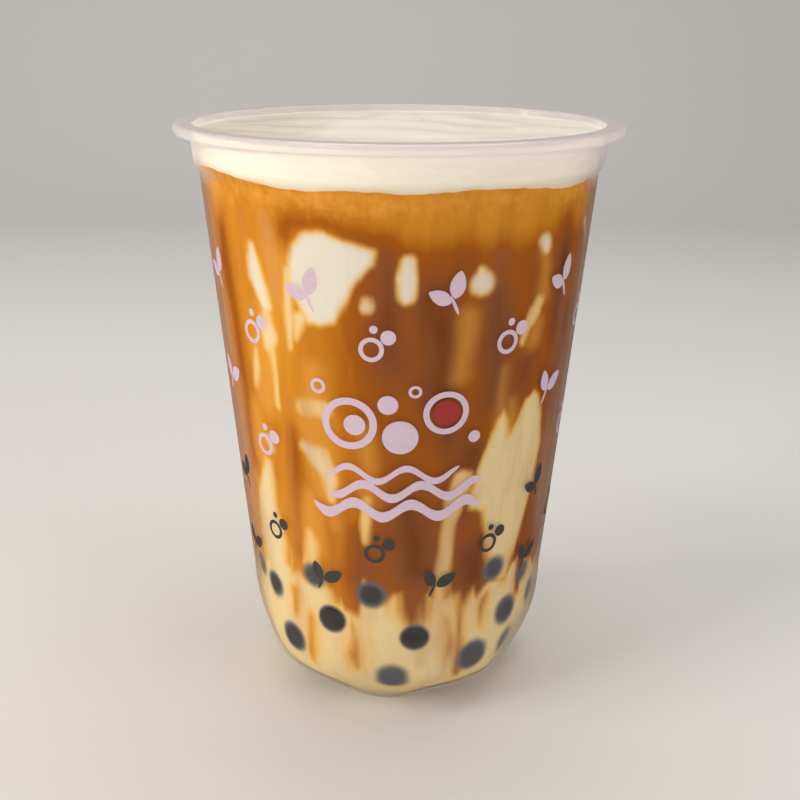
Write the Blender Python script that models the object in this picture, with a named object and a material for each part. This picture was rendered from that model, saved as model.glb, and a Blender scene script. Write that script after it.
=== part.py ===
"""Takeaway bubble tea: a clear moulded cup with a petal base, milk tea and a cap of milk foam.

The cup is one turned wall whose base swells into five petal feet. The tea and the foam are
solids that fill it almost to the rim. Heights are counted down from the rim's top face, and
the finished model stands on its feet at z = 0, with its front towards -Y.
"""
import math

import bmesh
import bpy
from mathutils import Matrix

MM = 0.001

# Cup: rim, band, shoulder and wall
RIM_RADIUS = 47.5 * MM
LIP_ROUND = 1.0 * MM
LIP_DEPTH = 2.1 * MM
LIP_UNDERSIDE = 1.6 * MM
LIP_EDGE = {"inward": 0.35 * MM, "up": 0.1 * MM}
FLANGE_ROOT = 3.5 * MM
SHOULDER_TOP = 7.4 * MM
SHOULDER_BOTTOM = 10.2 * MM
SHOULDER_STEP = 0.95 * MM
CONE_RADIUS = 42.4 * MM
CONE_RADIUS_DEPTH = 11.0 * MM
CONE_SLOPE = 0.0894
WALL = 0.9 * MM
MOUTH_ROUND = 0.35 * MM

# Base: the wall turns in as superellipses, a deep one at each petal and a shallow one between
BASE_TOP = 102.1 * MM
PETALS = 5
PETAL_TURN = math.radians(-7.3)
PETAL_SHARPNESS = 1.5
PETAL = {"radius": 18.2 * MM, "depth": 129.8 * MM, "fullness": 1.86}
VALLEY = {"radius": 24.8 * MM, "depth": 123.5 * MM, "fullness": 2.6}
RECESS_DEPTH = 125.6 * MM
HEIGHT = 129.3 * MM

# Drink: milk foam on milk tea, each clear of its neighbours by a hair
GAP = 0.3 * MM
FOAM_TOP = 1.15 * MM
FOAM_EDGE_DROP = 0.35 * MM
FOAM_DEPTH = 8.6 * MM
FOAM_LEAN = 0.9 * MM
FOAM_FRONT_DROP = 0.6 * MM
FOAM_RAGGED = 0.5 * MM
RAGGED_REACH = 1.8

# Folds on the foam: a bent set and a wider one across it, both dying out towards the wall.
# Waves round the cup are given as (how many, share, phase)
FOLD_RISE = 0.3 * MM
FOLD_PITCH = 21.0 * MM
FOLD_SKEW = 0.35
FOLD_BENDS = ((2, 0.9, 0.6), (3, 0.24, 0.0))
CROSS_PITCH = 35.7 * MM
CROSS_SKEW = -0.5
CROSS_PHASE = 1.1
CROSS_SHARE = 0.6
FOLD_FADE = 0.75
RAGGED_WAVES = ((4, 1.0, 3.25), (9, 0.56, 0.5), (14, 0.2, 1.0))

# Facets round the cup, and rings along each stretch of its section
SEGMENTS = 60
BASE_RINGS = 11
RECESS_RINGS = 4
WALL_RINGS = 4
SHOULDER_RINGS = 4
LIP_RINGS = 4
FOAM_TOP_RINGS = 9
FOAM_SIDE_RINGS = 4
FOAM_UNDER_RINGS = 5
SHARP_ANGLE = math.radians(35.0)


def smooth(x):
    x = min(max(x, 0.0), 1.0)
    return x * x * (3.0 - 2.0 * x)


def steps(start, end, count):
    """count + 1 values from start to end."""
    return [start + (end - start) * i / count for i in range(count + 1)]


def wall_radius(depth, inset=0.0):
    """Radius of the wall at a depth below the rim, moved inwards by inset."""
    cone = CONE_RADIUS - CONE_SLOPE * (depth - CONE_RADIUS_DEPTH)
    shoulder = smooth((SHOULDER_BOTTOM - depth) / (SHOULDER_BOTTOM - SHOULDER_TOP))
    return cone + SHOULDER_STEP * shoulder - inset


def petal_share(angle):
    """1 at the middle of a petal, 0 in the valley between two."""
    wave = 0.5 + 0.5 * math.sin(math.pi / 2 * math.cos(PETALS * (angle - PETAL_TURN)))
    return wave ** PETAL_SHARPNESS


def base_curve(form, turn, inset):
    """Point of one base superellipse: turn 0 at the wall, 90 degrees at its lowest ring."""
    start = wall_radius(BASE_TOP, inset)
    power = 2.0 / form["fullness"]
    radius = form["radius"] + (start - form["radius"]) * max(math.cos(turn), 0.0) ** power
    depth = BASE_TOP + (form["depth"] - inset - BASE_TOP) * math.sin(turn) ** power
    return radius, depth


def base_ring(turn, inset=0.0):
    """Ring of the base as a function of the angle round the cup."""

    def ring(angle):
        share = petal_share(angle)
        petal = base_curve(PETAL, turn, inset)
        valley = base_curve(VALLEY, turn, inset)
        radius = petal[0] * share + valley[0] * (1.0 - share)
        depth = petal[1] * share + valley[1] * (1.0 - share)
        return radius, min(depth, HEIGHT)

    return ring


def recess_ring(along, inset=0.0):
    """Ring of the shallow recess, from the feet (along = 0) to near the middle (1)."""
    lowest = base_ring(math.pi / 2, inset)

    def ring(angle):
        radius, depth = lowest(angle)
        uncut = PETAL["depth"] - inset if depth == HEIGHT else depth
        height = uncut + (RECESS_DEPTH - inset - uncut) * smooth(along)
        return radius * (1.0 - along), min(height, HEIGHT)

    return ring


def plain_ring(radius, depth):
    return lambda angle: (radius, depth)


def wall_rings(top, bottom, count, inset):
    return [plain_ring(wall_radius(d, inset), d) for d in steps(top, bottom, count)]


def base_rings(inset):
    """Rings from just under the straight wall down to the feet and in towards the middle."""
    turns = steps(0.0, math.pi / 2, BASE_RINGS)[1:]
    rings = [base_ring(turn, inset) for turn in turns]
    inward = steps(0.0, 1.0, RECESS_RINGS + 1)[1:-1]
    return rings + [recess_ring(along, inset) for along in inward]


def lip_rings():
    """Flange from its root under the band, round the lip, to the mouth's edge."""
    rings = [plain_ring(wall_radius(FLANGE_ROOT), FLANGE_ROOT)]
    rings.append(plain_ring(RIM_RADIUS - LIP_UNDERSIDE, LIP_DEPTH))
    rings.append(plain_ring(RIM_RADIUS - LIP_EDGE["inward"], LIP_DEPTH - LIP_EDGE["up"]))
    for turn in steps(0.0, math.pi / 2, LIP_RINGS):
        radius = RIM_RADIUS - LIP_ROUND * (1.0 - math.cos(turn))
        rings.append(plain_ring(radius, LIP_ROUND * (1.0 - math.sin(turn))))
    mouth = wall_radius(0.0, WALL)
    rings.append(plain_ring(mouth + MOUTH_ROUND, 0.0))
    rings.append(plain_ring(mouth, MOUTH_ROUND))
    return rings


def waves(angle, terms):
    return sum(share * math.sin(count * angle + phase) for count, share, phase in terms)


def foam_top_depth(x, y):
    """Depth of the foam's top: low poured folds that sink a little towards the wall."""
    edge = math.hypot(x, y) / wall_radius(FOAM_TOP, WALL)
    bend = edge * waves(math.atan2(y, x), FOLD_BENDS)
    folds = math.sin(2.0 * math.pi * (y + FOLD_SKEW * x) / FOLD_PITCH + bend)
    cross = math.sin(2.0 * math.pi * (x + CROSS_SKEW * y) / CROSS_PITCH + CROSS_PHASE)
    relief = FOLD_RISE * (folds + CROSS_SHARE * cross) * (1.0 - FOLD_FADE * edge ** 4)
    return FOAM_TOP + FOAM_EDGE_DROP * edge ** 6 - relief


def foam_under_depth(angle, edge):
    """Depth of the foam's uneven underside: edge is 0 at the middle, 1 at the wall."""
    lean = FOAM_LEAN * math.sin(angle) + FOAM_FRONT_DROP * math.cos(angle)
    ragged = FOAM_RAGGED * waves(angle, RAGGED_WAVES)
    return FOAM_DEPTH + lean * edge + ragged * edge ** 4


def spot(angle, radius):
    """Place on the plan for an angle counted from the front towards +X."""
    return radius * math.sin(angle), -radius * math.cos(angle)


def top_ring(edge, inset):
    def ring(angle):
        radius = edge * wall_radius(FOAM_TOP, inset)
        return radius, foam_top_depth(*spot(angle, radius))

    return ring


def side_ring(along, inset):
    """Ring on the foam's side, from its top edge (along = 0) to its lower edge (1)."""

    def ring(angle):
        top = top_ring(1.0, inset)(angle)[1]
        depth = top + (foam_under_depth(angle, 1.0) - top) * along
        return wall_radius(depth, inset), depth

    return ring


def shoulder_ring(along, inset, bottom, drop):
    """Ring on the tea's side, from a level ring (along = 0) up to its uneven edge (1)."""

    def ring(angle):
        top = foam_under_depth(angle, 1.0) + drop
        depth = bottom + (top - bottom) * along
        return wall_radius(depth, inset), depth

    return ring


def under_ring(edge, inset, drop):
    """Ring of the face where foam and tea meet, lowered by drop for the tea's own top."""

    def ring(angle):
        depth = foam_under_depth(angle, edge) + drop
        return edge * wall_radius(depth, inset), depth

    return ring


def turned_solid(name, rings, colour, roughness, alpha=1.0):
    """Closed solid: a fan at one pole, its rim extruded ring by ring, and a fan at the other."""
    bm = bmesh.new()
    bmesh.ops.create_circle(
        bm, cap_ends=True, cap_tris=True, segments=SEGMENTS, radius=1.0,
        matrix=Matrix.Rotation(PETAL_TURN, 4, "Z"))
    edges = [edge for edge in bm.edges if edge.is_boundary]
    loop = list({vert for edge in edges for vert in edge.verts})
    pole = next(vert for vert in bm.verts if vert not in loop)
    place(loop, rings[0])
    pole.co = (0.0, 0.0, sum(vert.co.z for vert in loop) / SEGMENTS)
    for ring in rings[1:]:
        grown = bmesh.ops.extrude_edge_only(bm, edges=edges)["geom"]
        loop = [item for item in grown if isinstance(item, bmesh.types.BMVert)]
        edges = [item for item in grown if isinstance(item, bmesh.types.BMEdge) and item.is_boundary]
        place(loop, ring)
    last = bmesh.ops.edgeloop_fill(bm, edges=edges)["faces"]
    bmesh.ops.poke(bm, faces=last)
    bmesh.ops.triangulate(bm, faces=bm.faces)
    if bm.calc_volume(signed=True) < 0.0:
        bmesh.ops.reverse_faces(bm, faces=bm.faces)

    mesh = bpy.data.meshes.new(name)
    bm.to_mesh(mesh)
    bm.free()
    mesh.shade_smooth()
    mesh.set_sharp_from_angle(angle=SHARP_ANGLE)
    mesh.materials.append(plain_material(name, colour, roughness, alpha))
    obj = bpy.data.objects.new(name, mesh)
    bpy.context.scene.collection.objects.link(obj)
    return obj


def place(verts, ring):
    """Move a ring's vertices, each along its own angle, to the radius and depth given there."""
    for vert in verts:
        angle = math.atan2(vert.co.x, -vert.co.y)
        radius, depth = ring(angle)
        x, y = spot(angle, radius)
        vert.co = (x, y, HEIGHT - depth)


def plain_material(name, colour, roughness, alpha):
    material = bpy.data.materials.new(name)
    material.use_nodes = True
    shader = material.node_tree.nodes["Principled BSDF"]
    shader.inputs["Base Color"].default_value = (*colour, 1.0)
    shader.inputs["Roughness"].default_value = roughness
    shader.inputs["Metallic"].default_value = 0.0
    shader.inputs["Alpha"].default_value = alpha
    return material


def make_cup():
    """Clear polypropylene wall, from the base's outer middle round the lip to its inner one."""
    outer_base = list(reversed(base_rings(0.0)))
    outer_wall = wall_rings(BASE_TOP, SHOULDER_BOTTOM, WALL_RINGS, 0.0)
    shoulder = wall_rings(SHOULDER_BOTTOM, SHOULDER_TOP, SHOULDER_RINGS, 0.0)[1:]
    inner_band = wall_rings(SHOULDER_TOP, SHOULDER_BOTTOM, SHOULDER_RINGS, WALL)
    inner_wall = wall_rings(SHOULDER_BOTTOM, BASE_TOP, WALL_RINGS, WALL)[1:]
    rings = outer_base + outer_wall + shoulder + lip_rings() + inner_band + inner_wall
    return turned_solid("cup", rings + base_rings(WALL), (0.86, 0.86, 0.85), 0.2, alpha=0.35)


def make_foam():
    """Cap of milk foam, from the middle of its underside up its side to its folded top."""
    inset = WALL + GAP
    edges = steps(0.0, 1.0, FOAM_UNDER_RINGS)[1:-1]
    under = [under_ring(edge, inset, 0.0) for edge in edges]
    side = [side_ring(along, inset) for along in reversed(steps(0.0, 1.0, FOAM_SIDE_RINGS))]
    top = [top_ring(edge, inset) for edge in reversed(steps(0.0, 1.0, FOAM_TOP_RINGS)[1:-1])]
    return turned_solid("milk_foam", under + side + top, (0.87, 0.83, 0.72), 0.45)


def make_tea():
    """Milk tea with brown sugar, from the middle of its base up to the foam's underside."""
    inset = WALL + GAP
    level = FOAM_DEPTH + FOAM_LEAN + FOAM_FRONT_DROP + RAGGED_REACH * FOAM_RAGGED + GAP
    base = list(reversed(base_rings(inset)))
    wall = wall_rings(BASE_TOP, level, WALL_RINGS, inset)
    heights = steps(0.0, 1.0, SHOULDER_RINGS)[1:]
    wall += [shoulder_ring(along, inset, level, GAP) for along in heights]
    edges = reversed(steps(0.0, 1.0, FOAM_UNDER_RINGS)[1:-1])
    top = [under_ring(edge, inset, GAP) for edge in edges]
    return turned_solid("milk_tea", base + wall + top, (0.58, 0.27, 0.06), 0.3)


def main():
    for obj in list(bpy.data.objects):
        bpy.data.objects.remove(obj, do_unlink=True)
    make_cup()
    make_foam()
    make_tea()


main()
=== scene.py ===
import math

import bpy
import numpy as np
from mathutils import Matrix, Vector, noise


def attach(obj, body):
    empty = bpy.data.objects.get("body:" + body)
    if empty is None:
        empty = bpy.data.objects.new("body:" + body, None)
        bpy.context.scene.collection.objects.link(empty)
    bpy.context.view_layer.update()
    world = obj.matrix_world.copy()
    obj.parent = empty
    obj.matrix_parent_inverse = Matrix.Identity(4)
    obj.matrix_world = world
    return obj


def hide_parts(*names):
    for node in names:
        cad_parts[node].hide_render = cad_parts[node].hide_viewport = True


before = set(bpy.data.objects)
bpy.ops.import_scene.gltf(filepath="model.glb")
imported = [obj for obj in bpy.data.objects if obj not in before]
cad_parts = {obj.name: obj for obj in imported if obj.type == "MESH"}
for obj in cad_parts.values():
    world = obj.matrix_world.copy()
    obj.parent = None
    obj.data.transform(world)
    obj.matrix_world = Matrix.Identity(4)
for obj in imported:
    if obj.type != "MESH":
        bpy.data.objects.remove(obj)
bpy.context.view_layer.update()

mm = 0.001
body = "root"
frontSpan = 78.0  # degrees to each side of the front that the photo shows

# The cup's own measures in millimetres, as in the CAD model; depths are below the rim's top face
cupForm = {
    "height": 129.3, "wall": 0.9, "rimRadius": 47.5, "lipRound": 1.0, "lipDepth": 2.1,
    "flangeRoot": 3.5, "shoulderTop": 7.4, "shoulderBottom": 10.2, "shoulderStep": 0.95,
    "coneRadius": 42.4, "coneDepth": 11.0, "coneSlope": 0.0894, "mouthRound": 0.35,
    "baseTop": 102.1, "petals": 5, "petalTurn": -7.3, "petalSharpness": 1.5, "recessDepth": 125.6,
    "petal": {"radius": 18.2, "depth": 129.8, "fullness": 1.86},
    "valley": {"radius": 24.8, "depth": 123.5, "fullness": 2.6},
}
foamForm = {
    "top": 1.15, "edgeDrop": 0.35, "depth": 8.6, "lean": 0.9, "frontDrop": 0.6, "ragged": 0.5,
    "foldRise": 0.3, "foldPitch": 21.0, "foldSkew": 0.35, "foldFade": 0.75,
    "crossPitch": 35.7, "crossSkew": -0.5, "crossPhase": 1.1, "crossShare": 0.6,
    # Waves round the cup: (how many, share, phase)
    "foldBends": ((2, 0.9, 0.6), (3, 0.24, 0.0)),
    "raggedWaves": ((4, 1.0, 3.25), (9, 0.56, 0.5), (14, 0.2, 1.0)),
    "fineWaves": ((31, 0.11, 0.5), (47, 0.1, 2.2), (83, 0.06, 0.0)),
}


def toLinear(code):  # an sRGB hex code as the linear colour that a socket takes
    parts = [int(code[i:i + 2], 16) / 255.0 for i in (1, 3, 5)]
    return tuple(c / 12.92 if c <= 0.04045 else ((c + 0.055) / 1.055) ** 2.4 for c in parts) + (1.0,)


def patternScale(sizeMm):  # noise scale that gives features of this size
    return 1.0 / (sizeMm * mm)


def newMaterial(name):
    material = bpy.data.materials.new(name)
    material.use_nodes = True
    tree = material.node_tree
    tree.nodes.clear()
    return material, tree, addNode(tree, "TexCoord", out="Object")


def addNode(tree, kind, inputs=None, out=0, **settings):  # gives the new node's socket for the next one
    node = tree.nodes.new("ShaderNode" + kind)
    for name, value in settings.items():
        setattr(node, name, value)
    for name, value in (inputs or {}).items():
        if isinstance(value, bpy.types.NodeSocket):
            tree.links.new(value, node.inputs[name])
        else:
            node.inputs[name].default_value = value
    return node.outputs[out] if node.outputs else None


def deselect():
    bpy.ops.object.select_all(action="DESELECT")


def editAll():  # into edit mode, with everything selected
    bpy.ops.object.mode_set(mode="EDIT")
    bpy.ops.mesh.select_all(action="SELECT")


# The cup's outline

def smooth(x):
    x = np.clip(x, 0.0, 1.0)
    return x * x * (3.0 - 2.0 * x)


def eased(value, start, end):  # 0 at the start to 1 at the end
    return smooth((value - start) / (end - start))


def wallRadius(depth, inset=0.0):
    form = cupForm
    cone = form["coneRadius"] - form["coneSlope"] * (depth - form["coneDepth"])
    band = eased(depth, form["shoulderBottom"], form["shoulderTop"])
    return cone + form["shoulderStep"] * band - inset


def petalShare(angle):  # 1 at the middle of a petal, 0 in the valley between two
    around = cupForm["petals"] * (angle - math.radians(cupForm["petalTurn"]))
    return (0.5 + 0.5 * np.sin(math.pi / 2 * np.cos(around))) ** cupForm["petalSharpness"]


def baseRing(turn, inset):  # turn runs from 0 at the wall to 90 degrees at the lowest ring
    def ring(angle):
        start = wallRadius(cupForm["baseTop"], inset)
        share = petalShare(angle)
        radius, depth = 0.0, cupForm["baseTop"]
        for form, part in ((cupForm["petal"], share), (cupForm["valley"], 1.0 - share)):
            power = 2.0 / form["fullness"]
            reach = start - form["radius"]
            radius = radius + part * (form["radius"] + reach * max(math.cos(turn), 0.0) ** power)
            drop = form["depth"] - inset - cupForm["baseTop"]
            depth = depth + part * drop * math.sin(turn) ** power
        return radius, np.minimum(depth, cupForm["height"])

    return ring


def recessRing(along, inset):  # along runs from 0 at the feet to 1 at the middle
    def ring(angle):
        radius, depth = baseRing(math.pi / 2, inset)(angle)
        uncut = np.where(depth >= cupForm["height"], cupForm["petal"]["depth"] - inset, depth)
        inner = uncut + (cupForm["recessDepth"] - inset - uncut) * smooth(along)
        return radius * (1.0 - along), np.minimum(inner, cupForm["height"])

    return ring


def plainRing(radius, depth):
    return lambda angle: (radius + 0.0 * angle, depth + 0.0 * angle)


def wallRings(top, bottom, count, inset):
    return [plainRing(wallRadius(d, inset), d) for d in np.linspace(top, bottom, count)]


def baseRings(inset, turns, inward):  # from just under the straight wall to the middle of the base
    rings = [baseRing(turn, inset) for turn in np.linspace(0.0, math.pi / 2, turns + 1)[1:]]
    return rings + [recessRing(along, inset) for along in np.linspace(0.0, 1.0, inward + 1)[1:]]


def turnPiece(name, rings, steps):
    # A vertex is extruded along the section, spun round the axis, and each ring then takes its own outline
    steps = steps
    deselect()
    bpy.ops.mesh.primitive_plane_add(size=mm)
    piece = bpy.context.object
    piece.name = piece.data.name = name
    section = []
    for ring in rings:
        radius, depth = ring(np.array([math.radians(cupForm["petalTurn"])]))
        section.append(Vector((radius[0], 0.0, cupForm["height"] - depth[0])) * mm)
    editAll()
    bpy.ops.mesh.merge(type="CENTER")
    bpy.ops.transform.translate(value=section[0])
    for last, point in zip(section, section[1:]):
        bpy.ops.mesh.extrude_region_move(TRANSFORM_OT_translate={"value": point - last})
    bpy.ops.object.mode_set(mode="OBJECT")
    ids = piece.data.attributes.new("ring", "INT", "POINT")
    ids.data.foreach_set("value", np.arange(len(rings), dtype=np.int32))
    editAll()
    bpy.ops.mesh.spin(steps=steps, angle=2.0 * math.pi, center=(0, 0, 0), axis=(0, 0, 1))
    bpy.ops.mesh.select_all(action="SELECT")
    bpy.ops.mesh.remove_doubles(threshold=0.004 * mm)
    bpy.ops.mesh.normals_make_consistent(inside=False)
    bpy.ops.object.mode_set(mode="OBJECT")

    points = vertexPoints(piece)
    number = np.zeros(len(points), np.int32)
    piece.data.attributes["ring"].data.foreach_get("value", number)
    angle = np.arctan2(points[:, 0], -points[:, 1])
    for index, ring in enumerate(rings):
        own = number == index
        radius, depth = ring(angle[own])
        points[own, 0] = radius * np.sin(angle[own])
        points[own, 1] = -radius * np.cos(angle[own])
        points[own, 2] = cupForm["height"] - depth
    setPoints(piece, points)
    return piece, angle, number


def vertexPoints(piece):  # in millimetres
    points = np.zeros(len(piece.data.vertices) * 3, np.float32)
    piece.data.vertices.foreach_get("co", points)
    return points.reshape(-1, 3).astype(float) / mm


def axisDistance(points):  # kept off 0, where an angle has no width
    return np.maximum(np.hypot(points[:, 0], points[:, 1]), 2.0)


def setPoints(piece, points):
    piece.data.vertices.foreach_set("co", (points * mm).astype(np.float32).ravel())
    piece.data.update()


def setField(piece, name, values):
    field = piece.data.attributes.new(name, "FLOAT", "POINT")
    field.data.foreach_set("value", np.asarray(values, np.float32))


def joinParts(name, parts):
    deselect()
    for part in parts:
        part.select_set(True)
    bpy.context.view_layer.objects.active = parts[0]
    bpy.ops.object.join()
    piece = bpy.context.object
    piece.name = piece.data.name = name
    return piece


def finishPiece(piece, material, sharpAngle=40.0):
    deselect()
    bpy.context.view_layer.objects.active = piece
    piece.select_set(True)
    bpy.ops.object.shade_smooth_by_angle(angle=math.radians(sharpAngle))
    if "ring" in piece.data.attributes:
        piece.data.attributes.remove(piece.data.attributes["ring"])
    piece.data.materials.clear()
    piece.data.materials.append(material)
    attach(piece, body)


def grains(points, kinds):  # from -1 to 1; a kind has its grain in mm along x, y and z, and a shift
    found = {}
    for name, (size, shift) in kinds.items():
        scaled = points / np.array(size) + shift
        found[name] = np.array([noise.noise(Vector(p)) for p in scaled])
    return found


# Camera and studio

cameraSettings = {
    "place": (0.00052, -0.240, 0.1504), "pitch": 19.35, "roll": 0.36, "lens": 49.365,
}
studio = {
    "floor": "#E4E2DE", "sky": "#E2E4E8", "skyStrength": 0.3, "mirroredSky": 0.06,
    "backdrop": 1.1, "backdropBend": 0.5,
    # Each lamp: place, size, power, colour, and whether the cup mirrors it
    "lamps": {
        "key": ((-0.95, -0.38, 0.36), (0.6, 0.6), 7.2, "#FFFAF3", False),
        "front": ((-0.15, -1.0, 0.34), (0.7, 0.5), 2.0, "#FFFAF4", False),
        "fill": ((0.75, -0.45, 0.30), (0.6, 0.6), 2.9, "#F6F0F4", False),
        "over": ((0.05, 0.15, 0.75), (0.7, 0.5), 2.4, "#FFFDF8", True),
        "strip": ((-0.60, -0.06, 0.16), (0.05, 0.40), 0.35, "#FFEEDC", True),
        "spark": ((-0.42, -0.35, 0.85), (0.16, 0.16), 0.5, "#FFFFFF", True),
    },
    "aim": (0.0, 0.0, 0.065),
}


def makeCamera():
    data = bpy.data.cameras.new("camera")
    data.lens = cameraSettings["lens"]
    data.sensor_width = 36.0
    data.clip_start = 0.01
    camera = bpy.data.objects.new("camera", data)
    bpy.context.scene.collection.objects.link(camera)
    tilt = Matrix.Rotation(math.radians(90.0 - cameraSettings["pitch"]), 4, "X")
    roll = Matrix.Rotation(math.radians(cameraSettings["roll"]), 4, "Z")
    camera.matrix_world = Matrix.Translation(cameraSettings["place"]) @ tilt @ roll
    bpy.context.scene.camera = camera


def makeStudio():
    scene = bpy.context.scene
    scene.view_settings.view_transform = "Standard"
    world = bpy.data.worlds.new("soft room")
    world.use_nodes = True
    tree = world.node_tree
    tree.nodes.clear()
    glossyRay = addNode(tree, "LightPath", out="Is Glossy Ray")
    strength = addNode(tree, "MapRange", {
        "Value": glossyRay, "To Min": studio["skyStrength"], "To Max": studio["mirroredSky"]})
    sky = addNode(tree, "Background", {"Color": toLinear(studio["sky"]), "Strength": strength})
    addNode(tree, "OutputWorld", {"Surface": sky})
    scene.world = world
    for name, (place, size, power, colour, mirrored) in studio["lamps"].items():
        data = bpy.data.lights.new(name, "AREA")
        data.shape = "RECTANGLE"
        data.size, data.size_y = size
        data.energy = power
        data.color = toLinear(colour)[:3]
        light = bpy.data.objects.new(name, data)
        scene.collection.objects.link(light)
        light.location = place
        light.visible_glossy = mirrored
        aim = Vector(studio["aim"]) - Vector(place)
        light.rotation_euler = aim.to_track_quat("-Z", "Y").to_euler()

    deselect()
    half = studio["backdrop"]
    bpy.ops.mesh.primitive_plane_add(size=2.0 * half)
    floor = bpy.context.object
    floor.name = "studio_floor"
    bpy.ops.object.mode_set(mode="EDIT")
    bpy.ops.mesh.select_all(action="DESELECT")
    bpy.ops.object.mode_set(mode="OBJECT")
    for edge in floor.data.edges:
        edge.select = all(floor.data.vertices[i].co.y > half * 0.9 for i in edge.vertices)
    bpy.ops.object.mode_set(mode="EDIT")
    bpy.ops.mesh.extrude_region_move(TRANSFORM_OT_translate={"value": (0.0, 0.0, half)})
    bpy.ops.object.mode_set(mode="OBJECT")
    bend = floor.modifiers.new("bend", "BEVEL")
    bend.width = studio["backdropBend"]
    bend.segments = 16
    bend.limit_method = "ANGLE"
    bpy.ops.object.modifier_apply(modifier="bend")
    bpy.ops.object.shade_smooth()
    material, tree, _ = newMaterial("matt studio paper")
    paper = addNode(tree, "BsdfPrincipled", {
        "Base Color": toLinear(studio["floor"]), "Roughness": 0.8, "Specular IOR Level": 0.2})
    addNode(tree, "OutputMaterial", {"Surface": paper})
    floor.data.materials.append(material)
    floor.visible_glossy = False  # the cup then mirrors little but lamps, as under a dark hood
    print("studio and camera are set")


# Cup: clear polypropylene, injection-moulded, which leaves it glossy with a slight milky haze

cupLook = {
    "steps": 360, "rings": (30, 8, 16, 10),  # rings in the base, its recess, the cone and the shoulder
    "edgeHaze": 0.72, "edgeStart": 0.62, "edgeEnd": 0.86, "through": 0.4,
    "gloss": 0.07, "refraction": 1.49, "mostGloss": 0.3, "ripple": 9.0, "rippleDepth": 0.25,
    "clear": "#FBFAF8", "tinted": "#C4A793", "flange": "#EDE6E4", "base": "#E6DDCE",
    # Changes up the wall: height at the start and end in mm, and the value there
    "ramps": {
        "flangeHaze": (cupForm["height"] - 8.0, cupForm["height"] - 2.7, 0.0, 0.6),
        "evenHaze": (68.0, 14.0, 0.004, 0.08),
        "flange": (117.0, 120.5, 0.0, 1.0), "base": (36.0, 10.0, 0.0, 1.0),
    },
    # Painted reflection: faintly milky streaks in the wall, laid where it shows reflection lines and veils,
    # repeated evenly round the cup by the count that follows:
    # strength, softness in mm, and spots of (angle, height, half the width)
    "streakRepeats": 3,
    "reflectionStreaks": [
        (0.22, 3, [(-38, 116, 1.2), (-35.5, 105, 1.4), (-35, 96, 0.8)]),
        (0.10, 1.6, [(-34.5, 80, 0.4), (-36, 62, 0.9), (-37, 44, 0.9)]),
        (0.08, 3, [(58, 97, 0.5), (61, 86, 1.2), (65, 72, 1.8), (66, 55, 1.6)]),
        (0.22, 5, [(-65, 104, 0.3), (-62, 84, 2), (-59, 64, 3), (-57, 46, 2.4)]),
        (0.45, 5, [(-62, 70, 1.2), (-61, 57, 2.6), (-60, 45, 1.6)]),
        (0.07, 5, [(27, 110, 2), (30, 92, 3), (32, 78, 2)]),
        (0.25, 0.9, [(-46.5, 118, 0.1), (-44.5, 101, 0.1)]),
        (0.06, 0.9, [(-12.5, 116, 0.2), (-13, 90, 0.2)]),
        (0.07, 0.9, [(29, 117, 0.2), (30.5, 84, 0.2)]),
    ],
}


def clearCupMaterial():
    # Clear PP: haze grows where the wall is seen edge-on, in the thick flange and towards the base; it
    # carries some of the drink's colour, as light from the drink scatters in the wall
    material, tree, place = newMaterial("clear injection-moulded polypropylene")
    height = addNode(tree, "SeparateXYZ", {0: place}, out="Z")
    facing = addNode(tree, "LayerWeight", {"Blend": 0.5}, out="Facing")
    steep = addNode(tree, "MapRange", {
        "Value": facing, "From Min": cupLook["edgeStart"], "From Max": cupLook["edgeEnd"]},
        interpolation_type="SMOOTHSTEP")
    ramps = {}
    for name, (start, end, first, last) in cupLook["ramps"].items():
        ramps[name] = addNode(tree, "MapRange", {
            "Value": height, "From Min": start * mm, "From Max": end * mm,
            "To Min": first, "To Max": last})
    haze = addNode(tree, "Math", {
        0: steep, 1: cupLook["edgeHaze"], 2: ramps["evenHaze"]}, operation="MULTIPLY_ADD")
    # Painted reflection: the milky streaks where the wall shows reflection lines and veils add to its haze
    paintedReflection = addNode(tree, "Attribute", attribute_name="paintedReflection", out="Fac")
    for more in (paintedReflection, ramps["flangeHaze"]):
        haze = addNode(tree, "Math", {0: haze, 1: more}, operation="ADD")
    most = addNode(tree, "Math", {0: haze, 1: 1.0}, operation="MINIMUM")
    milk = toLinear(cupLook["tinted"])
    for name in ("flange", "base"):
        milk = addNode(tree, "Mix", {
            0: ramps[name], 6: milk, 7: toLinear(cupLook[name])}, data_type="RGBA", out=2)
    clear = addNode(tree, "BsdfTransparent", {"Color": toLinear(cupLook["clear"])})
    front = addNode(tree, "BsdfDiffuse", {"Color": milk})
    through = addNode(tree, "BsdfTranslucent", {"Color": milk})
    milky = addNode(tree, "MixShader", {0: cupLook["through"], 1: front, 2: through})
    wall = addNode(tree, "MixShader", {0: most, 1: clear, 2: milky})
    ripple = addNode(tree, "TexNoise", {
        "Vector": place, "Scale": patternScale(cupLook["ripple"]), "Detail": 1.0})
    bump = addNode(tree, "Bump", {
        "Height": ripple, "Strength": 0.25, "Distance": cupLook["rippleDepth"] * mm})
    glance = addNode(tree, "Fresnel", {"IOR": cupLook["refraction"], "Normal": bump})
    mirror = addNode(tree, "Math", {0: glance, 1: cupLook["mostGloss"]}, operation="MINIMUM")
    gloss = addNode(tree, "BsdfGlossy", {"Roughness": cupLook["gloss"], "Normal": bump})
    skin = addNode(tree, "MixShader", {0: mirror, 1: wall, 2: gloss})
    addNode(tree, "OutputMaterial", {"Surface": skin})
    return material


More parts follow.
